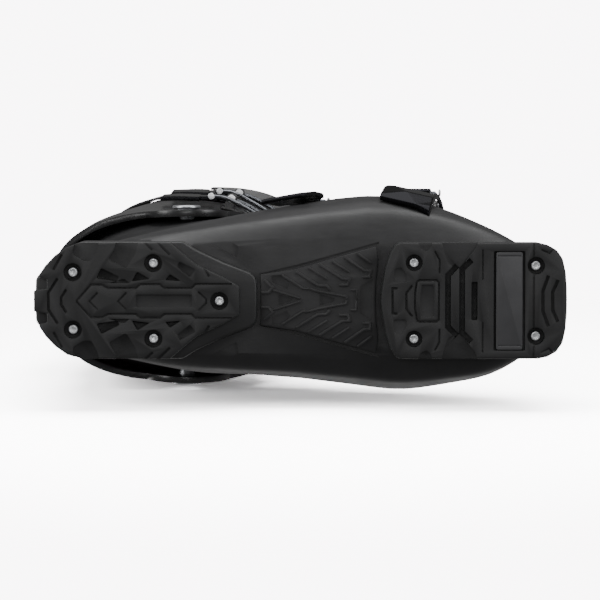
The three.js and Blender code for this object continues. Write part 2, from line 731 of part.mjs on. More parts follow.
addLowerShell();
addHeelSole();
addToeSole();
addArchPanel();
heelScrews.forEach(([x, y], i) => addScrew(`heel_screw_${i + 1}`, x, y));
toeScrews.forEach(([x, y], i) => addScrew(`toe_screw_${i + 1}`, x, y));
addBootBoard();
addFootLiner();
addCuffShell();
addCuffPivots();
addCuffLiner();
addPowerStrap();
addRearLock();
addBuckle("toe_buckle", { surface: shellSurface, x: toeTip - 84, z: 68, tilt: 15, hookY: 4, teeth: 3 });
addBuckle("instep_buckle", { surface: shellSurface, x: ankleX + 81, z: 86, tilt: 26, hookY: 4, teeth: 3 });
addBuckle("lower_cuff_buckle", { surface: cuffSurface, x: ankleX + 25, z: 172, tilt: 90, hookY: -12, teeth: 2 });
addBuckle("upper_cuff_buckle", { surface: cuffSurface, x: ankleX + 29, z: 222, tilt: 90, hookY: -12, teeth: 2 });

export default boot;
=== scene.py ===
import json
import math
import bpy
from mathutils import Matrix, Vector


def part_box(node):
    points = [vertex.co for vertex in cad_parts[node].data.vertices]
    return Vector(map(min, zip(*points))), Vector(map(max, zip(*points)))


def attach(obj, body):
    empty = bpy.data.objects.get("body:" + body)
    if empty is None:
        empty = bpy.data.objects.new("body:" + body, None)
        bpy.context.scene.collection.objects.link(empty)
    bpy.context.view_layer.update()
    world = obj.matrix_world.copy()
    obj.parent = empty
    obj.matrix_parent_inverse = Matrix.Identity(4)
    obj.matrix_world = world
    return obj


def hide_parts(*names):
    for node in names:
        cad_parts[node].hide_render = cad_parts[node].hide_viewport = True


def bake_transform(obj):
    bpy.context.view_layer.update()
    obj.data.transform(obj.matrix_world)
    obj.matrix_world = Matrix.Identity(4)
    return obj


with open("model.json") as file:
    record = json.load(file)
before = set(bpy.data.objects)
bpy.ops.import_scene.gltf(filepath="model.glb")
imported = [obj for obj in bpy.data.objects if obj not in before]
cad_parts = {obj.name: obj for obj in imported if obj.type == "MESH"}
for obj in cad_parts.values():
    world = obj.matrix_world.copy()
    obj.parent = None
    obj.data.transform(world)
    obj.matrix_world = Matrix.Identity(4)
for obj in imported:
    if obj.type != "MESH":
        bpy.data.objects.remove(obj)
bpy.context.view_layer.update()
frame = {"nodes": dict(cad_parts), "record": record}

# An alpine ski boot for a right foot. It stands on its sole in the frame, and the camera looks at the sole
# with the boot lying on its inner side. Sizes are millimetres, turned to metres where a mesh is made.
MM = 0.001
HEEL_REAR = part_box("heel_sole")[0][0] / MM
TOE_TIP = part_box("toe_sole")[1][0] / MM
TREAD_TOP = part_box("heel_sole")[1][2] / MM
ARCH_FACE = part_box("arch_panel")[0][2] / MM
ARCH_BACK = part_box("arch_panel")[1][2] / MM
SOLE_LENGTH = 316


# ---------------------------------------------------------------- modelling helpers

def clear_selection():
    if bpy.context.object and bpy.context.object.mode != "OBJECT":
        bpy.ops.object.mode_set(mode="OBJECT")
    bpy.ops.object.select_all(action="DESELECT")


def pick(piece):
    clear_selection()
    piece.select_set(True)
    bpy.context.view_layer.objects.active = piece
    return piece


def settle(piece):
    """Place, turn and size go into the mesh."""
    pick(piece)
    bpy.ops.object.transform_apply(location=True, rotation=True, scale=True)
    return piece


def apply_modifier(piece, kind, **settings):
    pick(piece)
    modifier = piece.modifiers.new(kind.title(), kind)
    for key, value in settings.items():
        setattr(modifier, key, value)
    bpy.ops.object.modifier_apply(modifier=modifier.name)
    return piece


def soften(piece, width, segments=2, angle=35):
    apply_modifier(piece, "BEVEL", width=width * MM, segments=segments, limit_method="ANGLE",
                   angle_limit=math.radians(angle), use_clamp_overlap=True, harden_normals=False)
    pick(piece)
    bpy.ops.object.shade_smooth_by_angle(angle=math.radians(40))
    return piece


def outward(piece):
    pick(piece)
    bpy.ops.object.mode_set(mode="EDIT")
    bpy.ops.mesh.select_all(action="SELECT")
    bpy.ops.mesh.remove_doubles(threshold=1e-6)
    bpy.ops.mesh.normals_make_consistent(inside=False)
    bpy.ops.object.mode_set(mode="OBJECT")
    return piece


def slab(name, corners, bottom, top):
    """Level plate: a flat ring moved to its corners and extruded upward."""
    clear_selection()
    bpy.ops.mesh.primitive_circle_add(vertices=len(corners), radius=1, fill_type="NGON")
    piece = bpy.context.object
    piece.name = name
    for vertex, (x, y) in zip(piece.data.vertices, corners):
        vertex.co = (x * MM, y * MM, bottom * MM)
    bpy.ops.object.mode_set(mode="EDIT")
    bpy.ops.mesh.select_all(action="SELECT")
    bpy.ops.mesh.extrude_region_move(TRANSFORM_OT_translate={"value": (0, 0, (top - bottom) * MM)})
    bpy.ops.object.mode_set(mode="OBJECT")
    return outward(piece)


def join(pieces, name):
    clear_selection()
    for piece in pieces:
        piece.select_set(True)
    bpy.context.view_layer.objects.active = pieces[0]
    if len(pieces) > 1:
        bpy.ops.object.join()
    pieces[0].name = name
    return pieces[0]


def boolean(piece, tools, operation="DIFFERENCE"):
    """Cuts or adds: many overlapping tools go as one exact cut, a single closed tool goes as a quick one."""
    solver = {"solver": "MANIFOLD"} if len(tools) == 1 else {"solver": "EXACT", "use_self": True}
    tool = join(tools, "tool")
    apply_modifier(piece, "BOOLEAN", object=tool, operation=operation, **solver)
    bpy.data.objects.remove(tool, do_unlink=True)
    return piece


def dress(piece, material):
    piece.data.materials.clear()
    piece.data.materials.append(material)
    for face in piece.data.polygons:
        face.material_index = 0
    return piece


def mirrored(half):
    return list(half) + [(x, -y) for x, y in reversed(half) if y != 0]


def rounded(corners, radius, steps=4):
    """Corners of a closed outline turned to short arcs."""
    result = []
    count = len(corners)
    for i, corner in enumerate(corners):
        here = Vector(corner)
        before = Vector(corners[i - 1]) - here
        after = Vector(corners[(i + 1) % count]) - here
        reach = min(radius, before.length * 0.45, after.length * 0.45)
        start = here + before.normalized() * reach
        end = here + after.normalized() * reach
        for step in range(steps + 1):
            t = step / steps
            point = start * (1 - t) ** 2 + here * 2 * t * (1 - t) + end * t ** 2
            result.append((point.x, point.y))
    return result


def strip(path, width):
    """Outline of a groove of one width along a bent line."""
    sides = ([], [])
    for i, point in enumerate(path):
        here = Vector(point)
        into = here - Vector(path[i - 1]) if i else Vector(path[1]) - here
        out = Vector(path[i + 1]) - here if i + 1 < len(path) else into
        into, out = into.normalized(), out.normalized()
        along = (into + out).normalized()
        normal = Vector((-along.y, along.x))
        reach = width / 2 / max(normal.dot(Vector((-into.y, into.x))), 0.4)
        sides[0].append(tuple(here + normal * reach))
        sides[1].append(tuple(here - normal * reach))
    return sides[0] + sides[1][::-1]


def arc(centre, radius, start, end, steps):
    cx, cy = centre
    angles = [math.radians(start + (end - start) * i / steps) for i in range(steps + 1)]
    return [(cx + radius * math.cos(a), cy + radius * math.sin(a)) for a in angles]


def disc(centre, radius, steps=32):
    return arc(centre, radius, 0, 360 - 360 / steps, steps - 1)


def from_heel(corners):
    return [(HEEL_REAR + x, y) for x, y in corners]


def pocket(corners, depth, face=0.0):
    """Cutter for a pocket in a face that looks down."""
    return slab("pocket", corners, face - 1, face + depth)


# ---------------------------------------------------------------- materials

def linear(code):
    channels = [int(code[i:i + 2], 16) / 255 for i in (1, 3, 5)]
    return tuple(c / 12.92 if c <= 0.04045 else ((c + 0.055) / 1.055) ** 2.4 for c in channels) + (1.0,)


def node(tree, kind, inputs=None, **settings):
    """Adds a node, sets its properties, and sets or links its inputs."""
    made = tree.nodes.new(kind)
    for key, value in settings.items():
        setattr(made, key, value)
    for key, value in (inputs or {}).items():
        if isinstance(value, bpy.types.NodeSocket):
            tree.links.new(value, made.inputs[key])
        else:
            made.inputs[key].default_value = value
    return made


def new_material(name):
    material = bpy.data.materials.new(name)
    material.use_nodes = True
    tree = material.node_tree
    shader = tree.nodes["Principled BSDF"]
    place = node(tree, "ShaderNodeTexCoord").outputs["Object"]
    return material, tree, shader, place


MOTTLING = 14
POLYMER_IOR = 1.5


def moulded(name, dark, light, roughness, grain_mm, grain_depth_mm, coat=0.0, scuff=0.15):
    """Moulded polymer: an eroded mould's fine grain, slow colour drift and faint rubbed streaks."""
    material, tree, shader, place = new_material(name)
    drift = node(tree, "ShaderNodeTexNoise", {"Vector": place, "Scale": 1 / (MOTTLING * MM), "Detail": 4.0})
    grain = node(tree, "ShaderNodeTexNoise", {"Vector": place, "Scale": 1 / (grain_mm * MM), "Detail": 2.0})
    blend = node(tree, "ShaderNodeMapRange", {"Value": drift.outputs["Fac"], "From Min": 0.3, "From Max": 0.7})
    colour = node(tree, "ShaderNodeMix", {0: blend.outputs["Result"], 6: linear(dark), 7: linear(light)},
                  data_type="RGBA")
    tree.links.new(colour.outputs[2], shader.inputs["Base Color"])
    streak_place = node(tree, "ShaderNodeMapping", {"Vector": place, "Scale": (0.25, 1.0, 1.0)})
    streak = node(tree, "ShaderNodeTexNoise",
                  {"Vector": streak_place.outputs["Vector"], "Scale": 1 / (5 * MM), "Detail": 6.0,
                   "Roughness": 0.7})
    wear = node(tree, "ShaderNodeMapRange",
                {"Value": streak.outputs["Fac"], "From Min": 0.35, "From Max": 0.75,
                 "To Min": roughness - scuff / 2, "To Max": roughness + scuff / 2})
    tree.links.new(wear.outputs["Result"], shader.inputs["Roughness"])
    bump = node(tree, "ShaderNodeBump", {"Height": grain.outputs["Fac"], "Strength": 0.6,
                                         "Distance": grain_depth_mm * MM})
    tree.links.new(bump.outputs["Normal"], shader.inputs["Normal"])
    shader.inputs["IOR"].default_value = POLYMER_IOR
    if coat:
        shader.inputs["Coat Weight"].default_value = coat
        shader.inputs["Coat Roughness"].default_value = 0.2
    return material


def metal(name, code, roughness, brushed_mm=0.4, depth_mm=0.01):
    """Metal with fine marks of its finishing."""
    material, tree, shader, place = new_material(name)
    shader.inputs["Metallic"].default_value = 1.0
    marks = node(tree, "ShaderNodeTexNoise", {"Vector": place, "Scale": 1 / (brushed_mm * MM), "Detail": 3.0})
    shader.inputs["Base Color"].default_value = linear(code)
    level = node(tree, "ShaderNodeMapRange", {"Value": marks.outputs["Fac"], "To Min": roughness - 0.08,
                                              "To Max": roughness + 0.12})
    tree.links.new(level.outputs["Result"], shader.inputs["Roughness"])
    bump = node(tree, "ShaderNodeBump",
                {"Height": marks.outputs["Fac"], "Strength": 0.4, "Distance": depth_mm * MM})
    tree.links.new(bump.outputs["Normal"], shader.inputs["Normal"])
    return material


# Moulded polyurethane of the lower shell: satin black with the mould's soft grain
shell_pu = moulded("moulded_polyurethane_satin", "#1f1f20", "#262627", 0.5, 0.9, 0.05)
# The cuff's polyurethane left the mould smoother, so it shows softer, longer reflections
cuff_pu = moulded("moulded_polyurethane_smooth", "#1b1b1c", "#222223", 0.33, 1.2, 0.03, coat=0.2)
# Abrasion-proof thermoplastic rubber of the treads: dull, a little lighter where it is rubbed
tread_rubber = moulded("thermoplastic_rubber", "#1a1a1b", "#222223", 0.62, 0.7, 0.07, scuff=0.2)
# Low-friction plastic of the toe insert: smoother and paler than the rubber round it
insert_plastic = moulded("polyamide_slide_plate", "#3a3a3c", "#424244", 0.42, 1.0, 0.02, scuff=0.08)
# Zinc-plated steel: bright, slightly blue, fine plating texture
zinc_steel = metal("zinc_plated_steel", "#eceef0", 0.36)


# ---------------------------------------------------------------- treads

GROOVE = 1.5
GROOVE_DEPTH = 1.4
TREAD_EDGE = 0.9
HEEL_HALF = 34.4
HEEL_SCREWS = from_heel([(23.2, 17), (23.2, -17), (70.9, 22.4), (70.9, -22.4), (110, 0)])
TOE_SCREWS = [(TOE_TIP - 90.6, 22.6), (TOE_TIP - 90.6, -22.6),
              (TOE_TIP - 18.4, 20.9), (TOE_TIP - 18.4, -20.9)]
SCREW_SEAT = 4.7
SCREW_HEAD_RADIUS = 2.9
SCREW_HEAD_HEIGHT = 2.4
SCREW_HOLE_RADIUS = 2.1
DEEP_POCKET = 5.5


def screw_well(place, radius):
    """Stepped hole of a tread screw."""
    return [slab("well", disc(place, radius), -1, 5),
            slab("shank_hole", disc(place, SCREW_HOLE_RADIUS, 20), 3, TREAD_TOP + 1)]


def groove(line, width, depth, face=0.0):
    return pocket(strip(line, width), depth, face)


def recess(corners, radius, depth, face=0.0):
    return pocket(rounded(corners, radius), depth, face)


def heel_tread():
    edge = mirrored(from_heel([
        (0.1, 0), (0.1, 6.3), (3.2, 6.6), (8.0, 7.4), (8.0, 12.8), (3.4, 13.6), (3.2, 15.4), (7.0, 21.0),
        (12.6, 26.9), (19.5, 31.8), (27.8, HEEL_HALF), (80.8, HEEL_HALF), (88.4, 27.8), (96.8, 21),
        (112, 13.9), (121.8, 8.4), (121.9, 0)]))
    tread = slab("heel_tread", edge, 0, TREAD_TOP)
    soften(tread, TREAD_EDGE, 2, 20)
    tools = []
    for place in HEEL_SCREWS:
        tools += screw_well(place, 5.4)
    holes = [
        [(40, 19.7), (50.9, 14.3), (49.7, 11.6), (37.2, 13.4)],
        [(61.4, 17.5), (68.9, 13), (58.1, 11.6)],
        [(80.8, 16), (87.4, 11.7), (77.9, 12.4)],
    ]
    side_pads = [
        [(24.8, 36), (38.8, 36), (38.2, 31), (34.1, 23.5), (29.4, 23.5), (22.8, 27.8)],
        [(48.8, 36), (62.3, 36), (60.5, 28), (54.7, 18.9), (44.2, 24.8), (48.3, 31)],
    ]
    front_pad = [(86.3, 23.5), (96, 18.5), (92.6, 13.9), (85, 20.2)]
    slashes = [[(72, 36), (80.8, 27.6)], [(16.9, 27.6), (11.8, 18.5)], [(99, 23), (104, 14.6)],
               [(64.4, 36), (70.6, 30.4)]]
    plate_line = [(25.3, 0), (34.1, 9.7), (40.4, 9.7), (44.2, 7.7), (60.6, 7.7), (63.2, 9.9), (74.9, 9.9),
                  (77.5, 7.7), (93.5, 7.7), (96, 10.1), (117.5, 10.1)]
    for sign in (1, -1):
        def placed(corners):
            return [(HEEL_REAR + x, sign * y) for x, y in corners][::sign]
        tools += [recess(placed(hole), 1.2, DEEP_POCKET) for hole in holes]
        tools += [recess(placed(pad), 2, 3.2) for pad in side_pads]
        tools.append(recess(placed(front_pad), 1.2, 2.0))
        tools += [groove(placed(line), GROOVE, GROOVE_DEPTH) for line in slashes]
        tools.append(groove(placed(plate_line), 1.2, GROOVE_DEPTH))
        tools.append(recess(placed([(44.5, 10.6), (57, 10.6), (54, 13), (52.5, 13)]), 0.6, 2.5))
    tools += [
        groove(from_heel([(14.3, -13.4), (8.8, -5), (8.8, 5), (14.3, 13.4)]), 1.6, 2.0),
        groove(from_heel([(19.4, -6.8), (16.4, -2.2), (16.4, 2.2), (19.4, 6.8)]), 1.6, 2.0),
        recess(from_heel([(60.6, -3.8), (93.9, -3.8), (93.9, 3.8), (60.6, 3.8)]), 1.2, 1.0)]
    for x in (33, 50):
        tools.append(groove(from_heel([(x + 5, -5), (x, 0), (x + 5, 5)]), 1.1, 1.0))
    tools.append(groove(from_heel([(97.5, -5.5), (102.3, -1.2), (102.3, 1.2), (97.5, 5.5)]), 1.1, 1.0))
    boolean(tread, tools)
    soften(tread, 0.3, 2, 40)
    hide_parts("heel_sole")
    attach(tread, "root")
    dress(tread, tread_rubber)


def toe_tread():
    rear = [(TOE_TIP - 110.2, 0), (TOE_TIP - 109.2, 9), (TOE_TIP - 107.2, 20), (TOE_TIP - 104.4, 28.5),
            (TOE_TIP - 101.6, 33.2), (TOE_TIP - 98.4, 34.4)]
    front = [(TOE_TIP - 17, 34.4), (TOE_TIP - 11.5, 33.2), (TOE_TIP - 6.2, 30.2), (TOE_TIP - 2.6, 25),
             (TOE_TIP - 0.8, 17), (TOE_TIP - 0.1, 8), (TOE_TIP, 0)]
    tread = slab("toe_tread", mirrored(rear + front), 0, TREAD_TOP)
    soften(tread, TREAD_EDGE, 2, 20)
    insert_low, insert_high = (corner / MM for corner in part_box("toe_insert"))
    tools = []
    for place, radius in zip(TOE_SCREWS, (5.0, 5.0, 5.2, 5.2)):
        tools += screw_well(place, radius)
    tools.append(slab("insert_well", rounded([
        (insert_low[0] - 1.5, insert_low[1] - 0.5), (insert_high[0] + 1.5, insert_low[1] - 0.5),
        (insert_high[0] + 1.5, insert_high[1] + 0.5), (insert_low[0] - 1.5, insert_high[1] + 0.5)],
        1.0), -1, 3.3))

    def from_toe(corners, sign=1):
        return [(TOE_TIP - SOLE_LENGTH + x, sign * y) for x, y in corners][::sign]

    window = [(227, -11.5), (228.6, -12.3), (238.6, -12.3), (240, -11), (240, 11), (238.6, 12.3), (228.6, 12.3),
              (227, 11.5), (226, 5), (225.8, 0), (226, -5)]
    tools += [
        groove(from_toe(window + window[:1]), 1.2, 1.6),
        recess(from_toe([(229.6, -9.6), (237.4, -9.6), (237.4, 9.6), (229.6, 9.6), (228.7, 0)]), 1.5, 0.8),
        groove(from_toe([(215.6, -7.5), (212.6, -7.5), (212.6, 7.5), (215.6, 7.5)]), 1.3, 1.6),
        groove(from_toe([(224.3, -9.2), (220.8, -4.8), (220.8, 4.8), (224.3, 9.2)]), 1.3, 1.6)]
    for x, half in ((245.4, 17.3), (253.8, 20.7)):
        line = [(x + 5.5, -half - 3.5), (x, -half + 2), (x, half - 2), (x + 5.5, half + 3.5)]
        tools.append(groove(from_toe(line), 3.4, DEEP_POCKET))
    tools.append(recess(from_toe([(259.3, -11.3), (262.9, -11.3), (262.9, 11.3), (259.3, 11.3)]), 0.8, DEEP_POCKET))
    for sign in (1, -1):
        tools += [
            recess(from_toe([(241.6, 36), (263.3, 36), (262, 31), (252, 18.2), (245.5, 22), (243, 29)], sign), 2, 3.2),
            recess(from_toe([(227.5, 36), (236.3, 36), (235.4, 31.4), (232.7, 29.1), (228.8, 31.2)], sign), 1.2, 1.8),
            recess(from_toe([(213, 11), (221, 11), (221, 15.5), (218, 20), (213.6, 19)], sign), 1.5, 0.7),
            groove(from_toe([(240.4, 16.5), (240.4, 24.4), (237.6, 29.4)], sign), 1.1, 1.2),
            groove(from_toe([(304.9, 15), (301.6, 6), (301.6, -0.5)], sign), 2.0, 2.0),
            groove(from_toe([(310.6, 12.4), (307.4, 5.4), (307.4, -0.5)], sign), 2.0, 2.0),
            groove(from_toe([(309.4, 33), (305.4, 28.2), (300.6, 30.4)], sign), 1.0, 1.2),
            groove(from_toe([(266, 12.5), (266, 30.5)], sign), 1.0, 0.8)]
    tools.append(pocket(from_toe([(295.4, -36), (296.8, -36), (296.8, 36), (295.4, 36)]), 0.7))
    boolean(tread, tools)
    soften(tread, 0.3, 2, 40)
    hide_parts("toe_sole")
    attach(tread, "root")
    dress(tread, tread_rubber)


def slide_insert():
    """Smooth insert plate with a crowned edge and a shallow lip at each end."""
    low, high = (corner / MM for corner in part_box("toe_insert"))
    outline = rounded([(low[0], low[1]), (high[0], low[1]), (high[0], high[1]), (low[0], high[1])], 1.4)
    plate = slab("slide_insert", outline, low[2], high[2])
    lips = [groove([(low[0] + 1, y), (high[0] - 1, y)], 0.7, 0.35, low[2])
            for y in (low[1] + 2.4, high[1] - 2.4)]
    boolean(plate, lips)
    soften(plate, 0.35, 3, 40)
    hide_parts("toe_insert")
    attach(plate, "root")
    dress(plate, insert_plastic)


def star(radius, inner, lobes=6):
    points = []
    for i in range(lobes * 6):
        angle = 2 * math.pi * i / (lobes * 6)
        reach = (radius + inner) / 2 + (radius - inner) / 2 * math.cos(lobes * angle)
        points.append((reach * math.cos(angle), reach * math.sin(angle)))
    return points


def tread_screws():
    """Pan-head screws with a six-lobe drive: one is modelled, the rest are copies."""
    clear_selection()
    bpy.ops.mesh.primitive_cylinder_add(vertices=48, radius=SCREW_HEAD_RADIUS * MM, depth=SCREW_HEAD_HEIGHT * MM,
                                        location=(0, 0, (SCREW_SEAT - SCREW_HEAD_HEIGHT / 2) * MM))
    head = settle(bpy.context.object)
    soften(head, 0.7, 4, 40)
    boolean(head, [slab("drive", star(2.1, 1.3), SCREW_SEAT - 4, SCREW_SEAT - 0.7)])
    clear_selection()
    bpy.ops.mesh.primitive_cylinder_add(vertices=24, radius=1.8 * MM, depth=11.7 * MM,
                                        location=(0, 0, (SCREW_SEAT + 5.9) * MM))
    shank = settle(bpy.context.object)
    model = join([head, shank], "screw_model")
    soften(model, 0.12, 2, 40)
    places = [(f"heel_screw_{i + 1}", place) for i, place in enumerate(HEEL_SCREWS)]
    places += [(f"toe_screw_{i + 1}", place) for i, place in enumerate(TOE_SCREWS)]
    for i, (cad_name, (x, y)) in enumerate(places):
        screw = model.copy()
        screw.data = model.data.copy()
        bpy.context.collection.objects.link(screw)
        screw.name = f"tread_{cad_name}"
        screw.location = (x * MM, y * MM, 0)
        screw.rotation_euler = (0, 0, math.radians(37 * i))
        settle(screw)
        dress(screw, zinc_steel)
        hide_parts(cad_name)
        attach(screw, "root")
    bpy.data.objects.remove(model, do_unlink=True)


heel_tread()
toe_tread()
slide_insert()
tread_screws()


# ---------------------------------------------------------------- smooth shells

def along(table, at):
    """Smooth curve through [place, value] pairs, level past its ends."""
    last = len(table) - 1
    if at <= table[0][0]:
        return table[0][1]
    if at >= table[last][0]:
        return table[last][1]
    i = max(k for k in range(last) if at > table[k][0] or k == 0)

    def slope(k):
        before, after = table[max(k - 1, 0)], table[min(k + 1, last)]
        return (after[1] - before[1]) / (after[0] - before[0])

    (x0, y0), (x1, y1) = table[i], table[i + 1]
    step = x1 - x0
    t = (at - x0) / step
    return (y0 * (1 + 2 * t) * (1 - t) ** 2 + slope(i) * step * t * (1 - t) ** 2
            + y1 * t * t * (3 - 2 * t) + slope(i + 1) * step * t * t * (t - 1))


def blend_to(low, high, share):
    return low + (high - low) * share


SOLE_WIDTH = [[0, 33], [0.35, 32], [0.55, 33], [1, 33]]
BELLY = {-1: [[0, 31], [0.14, 38], [0.3, 46], [0.44, 53.5], [0.63, 62], [0.74, 59], [0.85, 50], [1, 34]],
         1: [[0, 31], [0.14, 38], [0.3, 46], [0.44, 47.5], [0.59, 53], [0.69, 57], [0.785, 55.4], [0.88, 52.5],
             [1, 38]]}
ANKLE = {-1: [[0, 46], [0.4, 46], [0.55, 42], [1, 36]], 1: [[0, 49], [0.4, 48], [0.55, 44], [1, 36]]}
SHELL_REAR = [[14, -38], [32, -37], [60, -33.5], [100, -33.5], [120, -32], [145, -27]]
SHELL_FRONT = [[14, 0], [36, -0.02], [50, 0], [60, 0.05], [68, 0.12], [75, 0.23], [82, 0.37], [90, 0.55],
               [98, 0.7], [108, 0.84], [118, 0.945], [130, 0.98], [145, 1]]
BELLY_SHARE = [[14, 0], [17.5, 0.36], [21.5, 0.66], [26.5, 0.8], [33, 0.92], [43, 1]]
ANKLE_SHARE = [[55, 0], [75, 0.4], [100, 1]]
SHELL_SQUARE = [[14, 5], [40, 3.6], [70, 2.9], [100, 2.6]]
CUFF_REAR = [[70, -43.5], [110, -44], [150, -41], [200, -35], [260, -26], [330, -12]]
CUFF_FRONT = [[70, 142], [110, 126], [137, 108], [170, 104], [220, 110], [300, 127], [335, 133]]
CUFF_WIDTH = [[70, 54], [120, 54], [160, 55], [220, 58], [300, 63], [335, 64]]
ANKLE_X, ANKLE_Z = 41, 105
SHELL_WALL = 5
CUFF_WALL = 4
PIVOT_HOLE_RADIUS = 6


def ring(rear, front, power, angle, width):
    forward, aside = math.cos(angle), math.sin(angle)
    middle, half = (rear + front) / 2, (front - rear) / 2
    x = middle + half * math.copysign(abs(forward) ** (2 / power), forward)
    side = -1 if aside < 0 else 1
    return x, side * width(x, side) * abs(aside) ** (2 / power)


def shell_point(z, angle, offset):
    nose = along(SHELL_FRONT, z if z < 50 else z - offset)

    def width(x, side):
        share = (x - HEEL_REAR) / (TOE_TIP - HEEL_REAR)
        low = blend_to(along(SOLE_WIDTH, share), along(BELLY[side], share), along(BELLY_SHARE, z))
        return blend_to(low, along(ANKLE[side], share), along(ANKLE_SHARE, z)) + offset

    return ring(along(SHELL_REAR, z) - offset, blend_to(TOE_TIP - 13, 94, nose) + offset, along(SHELL_SQUARE, z),
                angle, width)


def cuff_point(z, angle, offset):
    return ring(along(CUFF_REAR, z) - offset, along(CUFF_FRONT, z) + offset, 2.6, angle,
                lambda x, side: along(CUFF_WIDTH, z) + side * 1.5 + offset)


def loft(name, levels, around, point, offset, capped=True):
    """A ring drawn up level by level, then each ring of points eased out to its outline."""
    clear_selection()
    bpy.ops.mesh.primitive_circle_add(vertices=around, radius=1, fill_type="NOTHING")
    piece = bpy.context.object
    piece.name = name
    bpy.ops.object.mode_set(mode="EDIT")
    bpy.ops.mesh.select_all(action="SELECT")
    for _ in levels[1:]:
        bpy.ops.mesh.extrude_edges_move(TRANSFORM_OT_translate={"value": (0, 0, 1)})
    bpy.ops.object.mode_set(mode="OBJECT")
    for vertex in piece.data.vertices:
        z = levels[round(vertex.co.z)]
        x, y = point(z, math.atan2(vertex.co.y, vertex.co.x), offset)
        vertex.co = (x * MM, y * MM, z * MM)
    if capped:
        bpy.ops.object.mode_set(mode="EDIT")
        bpy.ops.mesh.select_all(action="DESELECT")
        bpy.ops.mesh.select_mode(type="EDGE")
        bpy.ops.mesh.select_non_manifold()
        bpy.ops.mesh.edge_face_add()
        bpy.ops.mesh.select_mode(type="VERT")
        bpy.ops.object.mode_set(mode="OBJECT")
    return outward(piece)


def spaced(bottom, top, step):
    count = max(int((top - bottom) / step), 1)
    return [bottom + (top - bottom) * i / count for i in range(count + 1)]


def wall_plate(name, outline, low=-100, high=100):
    """Prism across the boot: an outline drawn in X and Z."""
    piece = slab(name, outline, low, high)
    piece.rotation_euler = (math.pi / 2, 0, 0)
    return settle(piece)


def cross_bar(name, x, z, radius, low, high, steps=40):
    return wall_plate(name, disc((x, z), radius, steps), low, high)


def cap_block(name, x0, x1, y0, y1, z0, z1):
    return slab(name, [(x0, y0), (x1, y0), (x1, y1), (x0, y1)], z0, z1)


def tidy_faces(piece):
    pick(piece)
    bpy.ops.object.shade_smooth_by_angle(angle=math.radians(38))


def lower_shell():
    levels = spaced(14, 34, 1.6) + spaced(36, 66, 4) + spaced(68, 146, 3)
    shell = loft("shell_lower", levels, 112, shell_point, 0)
    heel_block = mirrored(from_heel(
        [(0, 0), (0.4, 13), (3, 16), (7.5, 21.8), (12.6, 27), (20, 32), (27.8, 35), (88, 35), (96, 30), (112, 22.5),
         (128, 16.4), (131, 14), (132, 10), (132, 0)]))
    toe_lug = mirrored([
        (TOE_TIP - 110, 0), (TOE_TIP - 109, 9), (TOE_TIP - 107, 20), (TOE_TIP - 104.2, 28.5),
        (TOE_TIP - 100, 34.5), (TOE_TIP - 17, 34.5), (TOE_TIP - 11.5, 33.2), (TOE_TIP - 6.2, 30.2),
        (TOE_TIP - 2.6, 25), (TOE_TIP - 0.8, 17), (TOE_TIP - 0.1, 8), (TOE_TIP, 0)])
    block = soften(slab("heel_block", heel_block, TREAD_TOP + 0.3, 30), 1.6, 3, 20)
    lug = soften(slab("toe_lug", toe_lug, TREAD_TOP + 0.3, 19), 0.8, 2, 20)
    boolean(shell, [block], "UNION")
    boolean(shell, [lug], "UNION")
    inside = loft("inside", spaced(20, 40, 5) + spaced(44, 150, 6), 72, shell_point, -SHELL_WALL)
    tilt = -21 / (94 + 28.8)
    above = wall_plate("above", [(-100, 138 - 71.2 * tilt), (200, 138 + 228.8 * tilt), (200, 400), (-100, 400)])
    boolean(shell, [inside])
    holes = [above, cross_bar("pivot_hole", ANKLE_X, ANKLE_Z, PIVOT_HOLE_RADIUS, -80, 80)]
    holes += [slab("screw_hole", disc(place, SCREW_HOLE_RADIUS, 16), 1, 17.7) for place in HEEL_SCREWS + TOE_SCREWS]
    for sign in (1, -1):
        def placed(corners):
            return [(HEEL_REAR + x, sign * y) for x, y in corners][::sign]
        holes.append(groove(placed([(202.6, 14.8), (202.6, 26.4)]), 1.2, 2.5, 14))
        holes.append(groove(placed([(133.5, 15), (156, 20.2), (205, 34)]), 1.3, 2.2, 13))
        holes.append(recess(placed([(100, 35.6), (112, 29.2), (120, 25), (121, 32), (110, 38)]), 1, 1, 14))
    for piece in holes:
        boolean(shell, [piece])
    tidy_faces(shell)
    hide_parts("lower_shell")
    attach(shell, "root")
    dress(shell, shell_pu)


